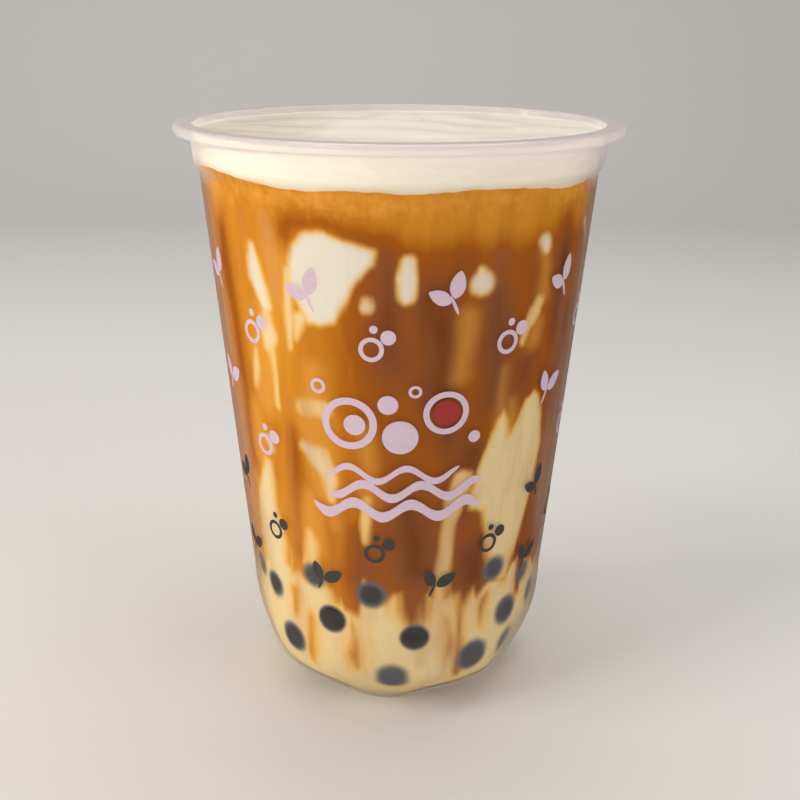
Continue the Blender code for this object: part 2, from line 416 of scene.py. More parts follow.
def lipRings():
    form = cupForm
    rings = [
        plainRing(wallRadius(form["flangeRoot"]), form["flangeRoot"]),
        plainRing(wallRadius(form["flangeRoot"]) + 0.5, form["flangeRoot"] - 0.5),
        plainRing(form["rimRadius"] - 1.6 * form["lipRound"], form["lipDepth"]),
        plainRing(form["rimRadius"] - 0.35 * form["lipRound"], form["lipDepth"] - 0.1 * form["lipRound"]),
    ]
    for turn in np.linspace(0.0, math.pi / 2, 10):
        radius = form["rimRadius"] - form["lipRound"] * (1.0 - math.cos(turn))
        rings.append(plainRing(radius, form["lipRound"] * (1.0 - math.sin(turn))))
    mouth = wallRadius(0.0, form["wall"])
    for turn in np.linspace(0.0, math.pi / 2, 5):
        radius = mouth + form["mouthRound"] * (1.0 - math.sin(turn))
        rings.append(plainRing(radius, form["mouthRound"] * (1.0 - math.cos(turn))))
    return rings


def makeCup():
    form = cupForm
    base, recess, cone, shoulder = cupLook["rings"]
    rings = baseRings(0.0, base, recess)[::-1]
    rings += wallRings(form["baseTop"], form["shoulderBottom"], cone, 0.0)
    rings += wallRings(form["shoulderBottom"], form["shoulderTop"], shoulder, 0.0)[1:]
    rings += wallRings(form["shoulderTop"], form["flangeRoot"], 3, 0.0)[1:-1]
    rings += lipRings()
    rings += wallRings(form["mouthRound"] + 1.0, form["shoulderTop"], 4, form["wall"])
    rings += wallRings(form["shoulderTop"], form["shoulderBottom"], shoulder, form["wall"])[1:]
    rings += wallRings(form["shoulderBottom"], form["baseTop"], cone, form["wall"])[1:]
    rings += baseRings(form["wall"], base, recess)
    piece, angle, _ = turnPiece("cup_wall", rings, cupLook["steps"])
    points = vertexPoints(piece)
    spot = (np.degrees(angle), climb(points[:, 2]), axisDistance(points))
    # Painted reflection: milky streaks where the wall shows reflection lines and veils, repeated evenly
    # round the cup
    turns = [360.0 * repeat / cupLook["streakRepeats"] for repeat in range(cupLook["streakRepeats"])]
    paintedReflection = np.zeros(len(points))
    for strength, spread, spots in cupLook["reflectionStreaks"]:
        marks = [[(a + turn, h, w) for a, h, w in spots] for turn in turns]
        paintedReflection = np.maximum(paintedReflection, strength * softSpots(marks, spread, *spot))
    setField(piece, "paintedReflection", paintedReflection)
    finishPiece(piece, clearCupMaterial())
    piece.visible_shadow = False  # a clear wall hardly shades the drink
    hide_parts("cup")
    print("cup is made:", len(piece.data.polygons), "faces")


# Foam and the line where it meets the tea

def waves(angle, terms):
    return sum(share * np.sin(count * angle + phase) for count, share, phase in terms)


def foamTopDepth(x, y):
    form = foamForm
    edge = np.hypot(x, y) / wallRadius(form["top"], cupForm["wall"])
    bend = edge * waves(np.arctan2(y, x), form["foldBends"])
    folds = np.sin(2.0 * math.pi * (y + form["foldSkew"] * x) / form["foldPitch"] + bend)
    cross = np.sin(2.0 * math.pi * (x + form["crossSkew"] * y) / form["crossPitch"] + form["crossPhase"])
    relief = form["foldRise"] * (folds + form["crossShare"] * cross) * (1.0 - form["foldFade"] * edge ** 4)
    return form["top"] + form["edgeDrop"] * edge ** 6 - relief


def foamUnderDepth(angle, edge=1.0):
    form = foamForm
    lean = form["lean"] * np.sin(angle) + form["frontDrop"] * np.cos(angle)
    ragged = form["ragged"] * (waves(angle, form["raggedWaves"]) + waves(angle, form["fineWaves"]))
    return form["depth"] + lean * edge + ragged * edge ** 4


def underRing(edge, inset):  # on the line where foam and tea meet
    def ring(angle):
        depth = foamUnderDepth(angle, edge)
        return edge * wallRadius(depth, inset), depth

    return ring


def alongLine(start, end, x, y):  # share of the way along a line that is nearest to each point
    dx, dy = end[0] - start[0], end[1] - start[1]
    share = ((x - start[0]) * dx + (y - start[1]) * dy) / (dx * dx + dy * dy + 1e-6)
    share = np.clip(share, 0.0, 1.0)
    return share, np.hypot(x - start[0] - share * dx, y - start[1] - share * dy)


def trackDistance(track, x, y):  # to round spots joined up, each (x, y, half its width); below 0 inside
    nearest = np.full(x.shape, 1000.0)
    for start, end in zip(track, track[1:] + track[-1:]):
        share, near = alongLine(start, end, x, y)
        nearest = np.minimum(nearest, near - start[2] - (end[2] - start[2]) * share)
    return nearest


def outlineDistance(corners, x, y):  # to a closed outline; below 0 inside
    nearest = np.full(x.shape, 1000.0)
    inside = np.zeros(x.shape, bool)
    for start, end in zip(corners, corners[1:] + corners[:1]):
        nearest = np.minimum(nearest, alongLine(start, end, x, y)[1])
        dx, dy = end[0] - start[0], end[1] - start[1]
        crosses = (start[1] > y) != (end[1] > y)
        inside ^= crosses & (x - start[0] < dx * (y - start[1]) / (dy or 1e-6))
    return np.where(inside, -nearest, nearest)


foamLook = {
    "steps": 400, "underRings": 6, "sideRings": 22, "topRings": 90, "reach": 0.08,
    "cream": "#F8F2E2", "shade": "#D6CDB8", "warm": "#F6DDB4", "cloud": 7.0,
    "bubble": 0.6, "bubbleDepth": 0.12, "cloudShare": 0.35, "shadeSpan": (0.2, 1.1),
    "soakHeight": 1.6, "soakSpan": (0.15, 0.6),
    "foldPitch": 13.0, "foldSlant": 0.18, "foldDepth": 0.07, "grooveDepth": 0.2, "pourRise": 0.22,
    "grooveSpread": 7.5, "pourSpread": 9.0, "stray": 3.0, "warp": 5.2,
    "noises": {
        "warp": ((17, 11, 30), 3.1), "fade": ((15, 15, 40), 9.4), "uneven": ((10, 10, 40), 63),
        "wander": ((13, 13, 40), 17), "flutter": ((5, 5, 40), 29), "stray": ((15, 15, 40), 41),
    },
    # Shares of each in the painted shade
    "grooveShade": 0.6, "foldShade": 0.3, "pourLight": 0.5, "leftShade": 0.45,
    # On the plan, in mm: (x, y, half the width) along each groove, and the outline of the poured patch
    "grooves": [
        [(-43, -5, 1.6), (-37, -10, 1.4), (-31, -13, 1.3), (-19, -15, 0.9)],
        [(-36, 10, 1.6), (-14, 16, 1.2), (-6, 27, 1)], [(-30, -2, 1), (-18, 1, 1.4), (-15, 8, 0.8)],
        [(4, 24, 1.1), (8, 9, 0.9), (13, -1, 1), (21, -2, 0.5)],
        [(16, 17, 1.2), (24, 12, 1.4), (28, 7, 1.8), (35, 1, 0.7)],
        [(3, -28, 0.9), (8, -25, 1.2), (12, -28, 0.8), (18, -25, 1.3), (25, -25, 0.6)],
        [(-6, 30, 1), (6, 33, 1.4), (20, 30, 0.8)], [(-24, -27, 0.7), (-10, -32, 1)],
    ],
    "pour": [(-12.4, 10), (-12, -6), (-13.4, -22), (-4, -30), (8, -22), (9, -5), (3, 8), (-4, 14)],
}


def foamMaterial():
    # Whipped milk: matt, soft, with light sinking a little way in and fine bubbles on its skin; its top
    # carries painted shade and painted light
    material, tree, place = newMaterial("whipped milk foam")
    cloudy = addNode(tree, "TexNoise", {
        "Vector": place, "Scale": patternScale(foamLook["cloud"]), "Detail": 3.0})
    # Painted shade in the top's grooves, fold troughs and over its left side, with painted light over the
    # poured patch
    paintedShade = addNode(tree, "Attribute", attribute_name="paintedShade", out="Fac")
    cloudAndShade = addNode(tree, "Math", {
        0: cloudy, 1: foamLook["cloudShare"], 2: paintedShade}, operation="MULTIPLY_ADD")
    dim = addNode(tree, "MapRange", {
        "Value": cloudAndShade, "From Min": foamLook["shadeSpan"][0], "From Max": foamLook["shadeSpan"][1]})
    skin = addNode(tree, "Mix", {
        0: dim, 6: toLinear(foamLook["cream"]), 7: toLinear(foamLook["shade"])}, data_type="RGBA", out=2)
    low = addNode(tree, "Attribute", attribute_name="lowEdge", out="Fac")
    soaked = addNode(tree, "Math", {0: cloudy, 1: low}, operation="MULTIPLY")
    tone = addNode(tree, "MapRange", {
        "Value": soaked, "From Min": foamLook["soakSpan"][0], "From Max": foamLook["soakSpan"][1]})
    colour = addNode(tree, "Mix", {
        0: tone, 6: skin, 7: toLinear(foamLook["warm"])}, data_type="RGBA", out=2)
    bubbles = addNode(tree, "TexVoronoi", {
        "Vector": place, "Scale": patternScale(foamLook["bubble"])}, out="Distance")
    bump = addNode(tree, "Bump", {
        "Height": bubbles, "Strength": 0.25, "Distance": foamLook["bubbleDepth"] * mm})
    shader = addNode(tree, "BsdfPrincipled", {
        "Base Color": colour, "Roughness": 0.5, "Specular IOR Level": 0.3, "Subsurface Weight": 0.1,
        "Subsurface Radius": (1.0, 0.9, 0.7), "Subsurface Scale": 1.2 * mm, "Normal": bump})
    addNode(tree, "OutputMaterial", {"Surface": shader})
    return material


def makeFoam():
    look = foamLook
    inset = cupForm["wall"] - look["reach"]

    def topRing(edge):
        def ring(angle):
            radius = edge * wallRadius(foamForm["top"], inset) + 0.0 * angle
            return radius, foamTopDepth(radius * np.sin(angle), -radius * np.cos(angle))

        return ring

    def sideRing(along):
        def ring(angle):
            top = topRing(1.0)(angle)[1]
            depth = top + (foamUnderDepth(angle) - top) * along
            return wallRadius(depth, inset), depth

        return ring

    rings = [underRing(edge, inset) for edge in np.linspace(0.0, 1.0, look["underRings"])[:-1]]
    rings += [sideRing(along) for along in np.linspace(1.0, 0.0, look["sideRings"])]
    rings += [topRing(edge) for edge in np.linspace(1.0, 0.0, look["topRings"])[1:]]
    piece, angle, number = turnPiece("milk_foam_cap", rings, look["steps"])

    points = vertexPoints(piece)
    x, y = points[:, 0], points[:, 1]
    onTop = number > len(rings) - look["topRings"]
    edge = np.hypot(x, y) / wallRadius(foamForm["top"], inset)
    noises = grains(points, look["noises"])
    along = 2.0 * math.pi * (y + look["foldSlant"] * x) / look["foldPitch"]
    ridge = (1.0 - np.abs(np.sin(along + look["warp"] * noises["warp"]))) ** 1.6
    fade = (1.0 - edge ** 6) * np.clip(0.55 + noises["fade"], 0.0, 1.0)
    wander = look["stray"] * noises["wander"] + noises["flutter"]
    stray = look["stray"] * noises["stray"]
    near = np.min([trackDistance(spots, x + stray, y + wander) for spots in look["grooves"]], axis=0)
    uneven = np.clip(0.75 + 0.9 * noises["uneven"], 0.25, 1.0)
    dent = uneven * smooth(0.55 - near / look["grooveSpread"]) ** 1.5
    pour = smooth(0.5 - outlineDistance(look["pour"], x + wander, y + stray) / look["pourSpread"])
    lift = look["foldDepth"] * fade * (ridge - 0.5) - look["grooveDepth"] * dent + look["pourRise"] * pour
    points[onTop, 2] += (lift * (1.0 - edge ** 8))[onTop]
    setPoints(piece, points)
    # Painted shade in the grooves, the fold troughs and over the left side of the top, and painted light
    # over the poured patch
    paintedShade = look["grooveShade"] * dent + look["foldShade"] * fade * (0.8 - ridge)
    paintedShade += look["leftShade"] * eased(x, 2.0, -32.0) - look["pourLight"] * pour
    paintedShade = np.where(onTop, paintedShade, 0.0)
    above = foamUnderDepth(angle) - (cupForm["height"] - points[:, 2])
    lowEdge = np.where(onTop, 0.0, smooth(1.0 - above / look["soakHeight"]))
    setField(piece, "paintedShade", np.clip(paintedShade, 0.0, 1.0))
    setField(piece, "lowEdge", lowEdge)
    finishPiece(piece, foamMaterial())
    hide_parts("milk_foam")
    print("foam is made:", len(piece.data.polygons), "faces")


# Milk tea: what the wall shows of it, in degrees round the cup from its front and mm above its foot.
# A chain is round spots joined up: (angle, height, half its width)

teaLook = {
    "steps": 456, "rings": (44, 10, 132, 8, 5),  # in the base, its recess, the wall, the shoulder, the top
    "reach": 0.08, "levelDepth": 12.0, "sway": 1.1, "waver": 0.5, "rise": 0.5,
    "golden": "#DC962E", "amber": "#AC5F10", "brown": "#8E522C", "dark": "#6C3510", "glow": "#E9A748",
    "yellowMilk": "#F0C069", "paleMilk": "#ECD397", "tanMilk": "#D1A66B", "creamMilk": "#E8E2D4",
    "halo": "#65666A", "core": "#1E2126",
    "streak": 6.0, "froth": 2.2, "wisp": 1.8, "drawnOut": 0.22, "streakShare": 0.44, "wispShare": 0.14,
    # Span of each tone over the pattern that it follows
    "ranges": {
        "light": (0.22, 0.55), "deep": (0.5, 0.85), "deepest": (0.85, 1.2), "curd": (0.48, 0.76),
        "crown": (110.0 * mm, 117.5 * mm), "frothy": (0.35, 0.75), "amount": (0.38, 0.57),
        "thick": (0.46, 0.7), "around": (0.05, 0.6), "middle": (0.5, 0.95),
    },
    "frothShare": 0.85, "glowShare": 0.6, "glowSpread": 5.0, "umberShare": 0.38, "umberSpread": 9.0,
    "evenUmber": 0.055, "sideShade": 0.36, "milkLine": 33.0, "milkSoft": 8.0, "lowSoft": 10.0,
    "low": (52.0, 26.0), "driftRise": 5.0, "ribbonRise": 9.0, "ribbonEdge": 2.4,
    "noises": {
        "drift": ((9, 9, 26), 4.7), "waver": ((3.5, 3.5, 8), 21.3), "rise": ((5, 5, 9), 33),
        "ribbon": ((3.2, 3.2, 22), 51),
    },
    # Painted shade, darkening the tea to the right of the front and round the back: (from, to, how much) in
    # degrees
    "sides": [(-36.0, 2.0, 1.0), (130.0, 180.0, -0.2), (-64.0, -124.0, 0.8)],
    # The painted shade fades out just under the foam and grows low down
    "sideTop": (115.0, 106.0), "sideLow": (64.0, 44.0), "lowMore": 0.25,
}
milkPatches = [  # wide patches: 1 for thick white milk to 0 for thin yellow milk, then the outline
    (1, [(-31.5, 106.5), (-30, 109.4), (-26, 112), (-21, 112.4), (-12, 111), (-6, 109.4), (-6.4, 106.6),
           (-10.5, 103.2), (-14, 99), (-17.2, 94.8), (-20.6, 93.6), (-26.5, 93.8), (-28.5, 97.4),
           (-31.5, 102)]),
    (0.15, [(36, 74.5), (37.6, 73), (39.5, 69), (42, 71.5), (45, 76), (48.5, 77.2), (51.8, 75.6),
            (54.6, 70.8), (56.5, 64), (55.3, 57), (50.5, 44.6), (47.6, 38), (46, 33), (38, 33), (31.8, 43),
            (30.5, 48), (29.5, 52.5), (24.6, 54), (24, 57.5), (26, 62), (31, 68.8), (33.5, 73)]),
]
milkChains = [  # drips and streaks, likewise
    (0.95, [(2.9, 107, 1.5), (2.9, 103.9, 2.1), (3, 100.9, 1.8)]),
    (0.85, [(23, 104.8, 1), (23.4, 102.4, 2.5)]),
    (0.85, [(45.1, 109.1, 1.6), (45.4, 108.1, 1.5)]),
    (0.75, [(-45.1, 107.8, 1.3), (-44.9, 104.6, 2.2), (-44.1, 101.8, 2.5), (-42.2, 98.8, 2.2),
           (-41, 96.3, 1.6)]),
    (0.25, [(-41.4, 94, 1.3), (-41.9, 92.6, 1.9), (-41, 90, 2.2), (-41.6, 87.8, 1.4)]),
    (0.1, [(-48.2, 86, 0.6), (-48.9, 82.2, 1.2), (-50.5, 78, 0.6)]),
    (0.1, [(-40.6, 88, 0.7), (-40.3, 81.6, 0.8), (-40.2, 75, 0.7)]),
    (0.4, [(-31.8, 104.3, 0.8), (-32, 99.3, 1), (-32, 93.2, 1), (-32, 88.6, 0.5)]),
    (0.3, [(-28.5, 95, 1.2), (-29.6, 90.5, 0.5)]),
    (0.15, [(44.6, 96.9, 1), (43.1, 94.9, 1.5), (40.8, 92.5, 0.9), (39.4, 89, 0.5)]),
    (0.6, [(70, 110.5, 0.8), (75, 107, 1.1), (80, 101, 1)]),
    (0.5, [(-7.8, 99.6, 0.9), (-7.8, 98.4, 1.4)]),
    (0, [(-29, 75.7, 1.7), (-22.4, 76.4, 1.5)]),
    (0.3, [(-30.2, 67.3, 1.4), (-25.9, 65.6, 2.5), (-23.3, 62.7, 1.8), (-22.2, 59.4, 1.2),
           (-22, 55, 0.5)]),
    (0.1, [(-47.4, 66.5, 0.9), (-45.3, 64.3, 0.9)]),
    (0.25, [(-48.5, 60.4, 1.1), (-49.9, 55.8, 2.2), (-52, 50.4, 3.2), (-52.5, 44.9, 4.4),
           (-52, 39.3, 5.4), (-51.4, 33.1, 6)]),
    (0, [(-9.4, 56.6, 0.7), (-9.8, 51.2, 1.1), (-9.6, 47, 0.6)]),
    (0, [(-31.9, 46.8, 0.8), (-31.1, 43.5, 1.6), (-31.4, 39, 2)]),
    (0.1, [(21.3, 61.3, 1.5), (19.4, 56.3, 1.6), (18.2, 50.5, 1.4), (17.6, 44.5, 1.6),
           (15.5, 38.6, 1.8), (14.9, 32.3, 1.8), (16.8, 26, 1.7)]),
]
teaChains = [  # tea that runs down between the milk
    [(5.6, 62, 5), (6, 47, 3.7), (6.2, 36, 3.1), (6, 29, 2.4), (5.6, 25, 1)],
    [(-17.8, 37, 0.9), (-17.6, 31, 0.8), (-16.6, 24, 0.8), (-16.4, 13, 0.6)],
    [(-33.2, 25, 0.4), (-33.2, 20, 0.5), (-35, 13, 0.35)], [(-41.5, 30, 0.8), (-40.5, 25, 0.5)],
    [(25.8, 51.5, 1.9), (26.3, 44.7, 2.6), (27.2, 40.7, 3), (27, 36, 3), (24.6, 29, 1.2),
     (24.6, 20, 0.7), (25, 12, 0.5)],
    [(19.6, 27, 0.4), (20.4, 18, 0.5)], [(34, 30, 0.7), (33, 24, 0.4)],
    [(-23.6, 52, 3.2), (-23.2, 42, 2.9), (-22.4, 36, 1.9), (-21.8, 31, 0.8)],
    [(60, 60, 3), (58, 46, 2.8), (56, 36, 1.8), (56, 28, 0.6)],
    [(-42.6, 52, 1.4), (-42.4, 44, 1.6), (-43, 37, 0.7)],
]
umberChains = [  # where the brown sugar has left the tea dark
    [(-3.6, 109, 1.6), (-2.4, 98, 2.2), (-1, 86, 2.6)], [(10, 100, 2.5), (14, 90, 3.5), (12, 80, 3)],
    [(-34, 111, 1), (-29, 113.6, 1.4), (-20, 114.2, 1.5), (-10, 112.8, 1.3), (-4, 110.6, 1.4)],
    [(53.5, 113, 1.6), (55, 101, 2), (56, 90, 1.6)], [(29, 99, 1.6), (30, 90, 2.6), (32, 78, 2.6)],
    [(3, 56, 2.2), (6, 40, 1.6)], [(-12, 48, 1), (-13, 38, 1.4)], [(42, 84, 1.4), (41, 77, 1.2)],
    [(24, 66, 3), (20, 52, 1)], [(27, 42, 2.2), (29, 37, 2.4)], [(-34.6, 70, 0.5), (-36, 42, 0.5)],
    [(-60, 112, 2), (-60, 98, 3.2), (-59, 80, 2.2), (-57, 60, 1.6)], [(15, 78, 1.6), (16, 70, 1.6)],
    [(-3, 104, 1), (-2.6, 100, 1.2)], [(64, 92, 1.4), (63, 70, 1.4)],
]
glowChains = [  # thin milk far behind the wall, a soft light patch
    [(-36.6, 111, 1.5), (-35.5, 105, 1.6), (-35.2, 98, 1.2)], [(-62, 118, 3), (-62, 113, 1.5)],
    [(-43.4, 94, 3), (-44.2, 86, 3.6), (-46, 75, 3.2)], [(34.4, 84, 0.4), (34.4, 77, 0.8), (35, 73, 1)],
    [(45.4, 106, 1.2), (46.3, 103, 1.2), (46.1, 98, 1.4)], [(44.9, 92, 1.3), (43.8, 88.9, 1.5)],
    [(-25, 84, 2), (-26, 72, 3.4), (-24, 58, 3.2)],
    [(-30, 56, 2), (-31, 44, 3)], [(20, 96, 1.6), (18.6, 84, 1.4)], [(-22, 58, 0.8), (-22.3, 50, 0.8)],
    [(-52, 72, 2.5), (-51, 62, 2.5)], [(-10, 72, 1.6), (-9, 56, 1.6)], [(39, 76, 1), (40, 66, 1.4)],
]
pearlSet = {
    "across": 4.6, "inward": 3.4, "poke": 0.42, "behind": 26, "seed": 5, "apart": 10.0, "touching": 0.8,
    "behindHeight": (7.0, 38.0), "behindSize": (0.9, 1.12), "behindNear": (0.3, 1.0), "giveUp": 0.02,
    "lowWall": 33.0, "squash": (0.82, 0.95),
    # The field's dark spots: size of one far from the wall and what is off at the wall, blur, faintness
    "far": 3.2, "nearLess": 0.8, "blur": 1.5, "farBlur": 2.4, "faintest": 0.25,
    "stretch": 1.6, "stretchSpan": (22.0, 8.0),
    # (angle, height, size, how near the wall it is, tilt)
    "front": [
        (-24.7, 26.2, 1.2, 1, -20), (-44.4, 17.4, 1.22, 0.75, 25), (6.9, 23.2, 1.16, 1, 0),
        (31.2, 15.4, 1.3, 0.6, 40), (-1.7, 10.4, 1.2, 0.5, 0), (-54.3, 28.9, 1, 0.7, 15),
        (47, 24.4, 1.2, 0.6, 20), (-9.1, 33.9, 1.1, 0.7, 0), (-31.3, 36.2, 0.95, 0.6, 30),
        (38, 37, 1, 0.55, 0), (50.4, 14.9, 1, 0.3, 0), (-67, 31, 0.95, 0.6, 0),
        (57, 32, 0.95, 0.35, 0), (68, 24, 1, 0.5, 0),
    ],
}


def climbTable():
    # Length along the wall and base, from the foot of the straight wall, against height
    turns = np.linspace(0.0, math.pi / 2, 60)
    rings = [baseRing(turn, cupForm["wall"])(np.array([0.6])) for turn in turns]
    radius = np.array([ring[0][0] for ring in rings])
    depth = np.array([ring[1][0] for ring in rings])
    length = np.concatenate(([0.0], np.cumsum(np.hypot(np.diff(radius), np.diff(depth)))))
    return cupForm["height"] - depth, -length


def climb(height):  # height on the straight wall, and length down the base below it
    heights, lengths = climbTable()
    foot = cupForm["height"] - cupForm["baseTop"]
    return np.where(height >= foot, height, foot + np.interp(height, heights[::-1], lengths[::-1]))


def unrolled(spots, angle, radius):  # spots and points laid flat, in mm across from the first spot
    perDegree = math.radians(1.0) * radius
    first = spots[0][0]
    across = ((angle - first + 180.0) % 360.0 - 180.0) * perDegree
    return [((a - first) * perDegree, climb(h), *rest) for a, h, *rest in spots], across


def chainDistance(spots, angle, level, radius):  # in mm, below 0 inside
    track, across = unrolled(spots, angle, radius)
    return trackDistance(track, across, level)


def patchDistance(corners, angle, level, radius):
    outline, across = unrolled(corners, angle, radius)
    return outlineDistance(outline, across, level)


farSide = {  # what the marbling of the unseen sides is drawn from, in degrees, mm and shares of 1
    "seed": 11, "from": frontSpan + 10.0, "to": 360.0 - frontSpan - 6.0, "step": (11, 21),
    "top": (94, 112), "lean": (-4, 4), "patches": 0.3, "drops": 0.3, "rising": 0.55,
    "patch": {"wide": (6, 10), "tall": (6, 11)},
    "drop": {"wide": (1.2, 2.4), "tall": (2, 7), "cream": (0.6, 1.0)},
    "drip": {"wide": (0.9, 2.0), "tall": (14, 30), "cream": (0.1, 0.5)},
    "rise": {"wide": (1.0, 4.5), "start": (48, 82), "cream": (0.0, 0.3)},
}


def ruledMarbling():
    # The far sides get drips, patches and streaks of the same kinds as the front
    draw = np.random.default_rng(farSide["seed"])
    patch, drop, drip, rise = (farSide[kind] for kind in ("patch", "drop", "drip", "rise"))
    chains, tongues, umber, glow, patches = [], [], [], [], []
    angle = farSide["from"]
    while angle < farSide["to"]:
        kind = draw.random()
        top, lean = draw.uniform(*farSide["top"]), draw.uniform(*farSide["lean"])
        if kind < farSide["patches"]:
            wide, tall = draw.uniform(*patch["wide"]), draw.uniform(*patch["tall"])
            bumps = draw.uniform(0.0, 6.3), draw.uniform(0.0, 6.3)
            patches.append((0.7, patchOutline(angle, top, wide, tall, bumps)))
            angle += wide
        elif kind < farSide["patches"] + farSide["drops"]:
            wide, tall = draw.uniform(*drop["wide"]), draw.uniform(*drop["tall"])
            chains.append((draw.uniform(*drop["cream"]), [
                (angle, top, wide * 0.8), (angle + lean * 0.2, top - tall, wide)]))
        else:  # a slanting drip that thins out
            tall, wide = draw.uniform(*drip["tall"]), draw.uniform(*drip["wide"])
            chains.append((draw.uniform(*drip["cream"]), [
                (angle, top, wide * 0.6), (angle + lean * 0.5, top - tall * 0.4, wide),
                (angle + lean, top - tall, wide * 0.3)]))
        if draw.random() < farSide["rising"]:  # milk that rises from below
            start, wide = draw.uniform(*rise["start"]), draw.uniform(*rise["wide"])
            chains.append((draw.uniform(*rise["cream"]), [
                (angle + 5, start, wide * 0.4), (angle + 6 + lean, start - 12, wide),
                (angle + 8 + lean, 32, wide * 1.3)]))
        tongues.append([(angle + 3, 50, 3.0), (angle + 4, 38, 1.8), (angle + 4, draw.uniform(16, 30), 0.5)])
        umber.append([(angle + 6, draw.uniform(98, 112), 2.2), (angle + 5, 88, 2.8), (angle + 8, 68, 2.4)])
        glow.append([(angle - 3, draw.uniform(80, 100), 1.6), (angle - 3, draw.uniform(55, 75), 2.0)])
        angle += draw.uniform(*farSide["step"])
    return chains, tongues, umber, glow, patches


def patchOutline(angle, top, wide, tall, bumps):  # uneven all round, longer below
    outline = []
    for turn in np.linspace(0.0, 2.0 * math.pi, 19)[:-1]:
        reach = 1.0 + 0.22 * math.sin(2 * turn + bumps[0]) + 0.13 * math.sin(3 * turn + bumps[1])
        low = 1.0 + 0.45 * max(-math.cos(turn), 0.0) ** 2
        height = top - tall + tall * reach * low * math.cos(turn)
        outline.append((angle + wide * reach * math.sin(turn), height))
    return outline


def pearlPlaces():
    draw = np.random.default_rng(pearlSet["seed"])
    places = list(pearlSet["front"])
    while len(places) < len(pearlSet["front"]) + pearlSet["behind"]:
        angle, height = draw.uniform(frontSpan, 360.0 - frontSpan), draw.uniform(*pearlSet["behindHeight"])
        size, near = draw.uniform(*pearlSet["behindSize"]), draw.uniform(*pearlSet["behindNear"])
        tilt = draw.uniform(-60.0, 60.0)
        clear = True
        for other in places:
            across = math.radians((angle - other[0] + 180.0) % 360.0 - 180.0) * pearlSet["lowWall"]
            if math.hypot(across, height - other[1]) < pearlSet["apart"]:
                clear = False
        if clear:
            places.append((angle, height, size, near, tilt))
        elif draw.random() < pearlSet["giveUp"]:
            break
    return places


def teaMaterial():
    # Milk tea pressed against the wall: no skin of its own shows, so it is matt under the cup's gloss
    look = {name: toLinear(code) for name, code in teaLook.items() if isinstance(code, str)}
    material, tree, place = newMaterial("milk tea with brown sugar")
    height = addNode(tree, "SeparateXYZ", {0: place}, out="Z")
    drawnOut = (1.0, 1.0, teaLook["drawnOut"])
    drawn = addNode(tree, "Mapping", {"Vector": place, "Scale": drawnOut})
    field = {name: addNode(tree, "Attribute", attribute_name=name, out="Fac")
             for name in ("milk", "cream", "umber", "glow", "pearl")}
    noises = {}
    for name, vector, detail, rough in (
            ("streak", drawn, 4.0, 0.55), ("froth", place, 4.0, 0.65), ("wisp", drawn, 3.0, 0.5)):
        noises[name] = addNode(tree, "TexNoise", {
            "Vector": vector, "Scale": patternScale(teaLook[name]), "Detail": detail,
            "Roughness": rough})
    # The umber field holds the brown sugar's dark streaks and the painted shade on the tea's sides
    tone = addNode(tree, "Math", {
        0: noises["streak"], 1: teaLook["streakShare"], 2: field["umber"]}, operation="MULTIPLY_ADD")
    wispy = addNode(tree, "Math", {0: noises["wisp"], 1: -0.5}, operation="ADD")
    milk = addNode(tree, "Math", {
        0: wispy, 1: teaLook["wispShare"], 2: field["milk"]}, operation="MULTIPLY_ADD")
    spans = {}
    for name, value, kind in (
            ("light", tone, "LINEAR"), ("deep", tone, "LINEAR"), ("deepest", tone, "LINEAR"),
            ("crown", height, "LINEAR"), ("curd", noises["streak"], "LINEAR"),
            ("amount", milk, "SMOOTHSTEP"), ("thick", milk, "SMOOTHSTEP"),
            ("around", field["pearl"], "SMOOTHSTEP"), ("middle", field["pearl"], "SMOOTHSTEP")):
        low, high = teaLook["ranges"][name]
        spans[name] = addNode(tree, "MapRange", {
            "Value": value, "From Min": low, "From Max": high}, interpolation_type=kind)
    frothy, white = (
        addNode(tree, "Math", {0: one, 1: other}, operation="MULTIPLY")
        for one, other in ((noises["froth"], spans["crown"]), (spans["thick"], field["cream"])))
    low, high = teaLook["ranges"]["frothy"]
    lit = addNode(tree, "MapRange", {
        "Value": frothy, "From Min": low, "From Max": high, "To Max": teaLook["frothShare"]})

    # Each colour is laid over what comes before it: the tea, the milk, and the drink with its pearls
    tea, curdled = look["golden"], look["yellowMilk"]
    for share, colour in ((spans["light"], "amber"), (spans["deep"], "brown"), (spans["deepest"], "dark"),
                          (lit, "glow"), (field["glow"], "glow")):
        tea = addNode(tree, "Mix", {0: share, 6: tea, 7: look[colour]}, data_type="RGBA", out=2)
    for share, colour in ((spans["thick"], "paleMilk"), (spans["curd"], "tanMilk"), (white, "creamMilk")):
        curdled = addNode(tree, "Mix", {0: share, 6: curdled, 7: look[colour]},
                          data_type="RGBA", out=2)
    drink = tea
    for share, colour in ((spans["amount"], curdled), (spans["around"], look["halo"]),
                          (spans["middle"], look["core"])):
        drink = addNode(tree, "Mix", {0: share, 6: drink, 7: colour}, data_type="RGBA", out=2)
    shader = addNode(tree, "BsdfPrincipled", {
        "Base Color": drink, "Roughness": 0.6, "Specular IOR Level": 0.0})
    addNode(tree, "OutputMaterial", {"Surface": shader})
    return material


def softSpots(tracks, spread, angle, level, radius):  # 1 inside the tracks, fading out around them
    total = np.zeros(len(angle))
    for spots in tracks:
        total = np.maximum(total, smooth(0.5 - chainDistance(spots, angle, level, radius) / spread))
    return total


def pearlShade(pearls, angle, level, radius):
    total = np.zeros(len(angle))
    look = pearlSet
    for at, height, size, near, _ in pearls:
        inner = (look["far"] - look["nearLess"] * near) * size
        # A ball covers more of the slanting base's height
        long = look["stretch"] * eased(height, *look["stretchSpan"])
        away = chainDistance([(at, height + long, inner), (at, height, inner)], angle, level, radius)
        blur = look["blur"] + look["farBlur"] * (1.0 - near)
        strength = look["faintest"] + (1.0 - look["faintest"]) * near
        total = np.maximum(total, np.clip(0.5 - (away - 0.3) / blur, 0.0, 1.0) * strength)
    return total


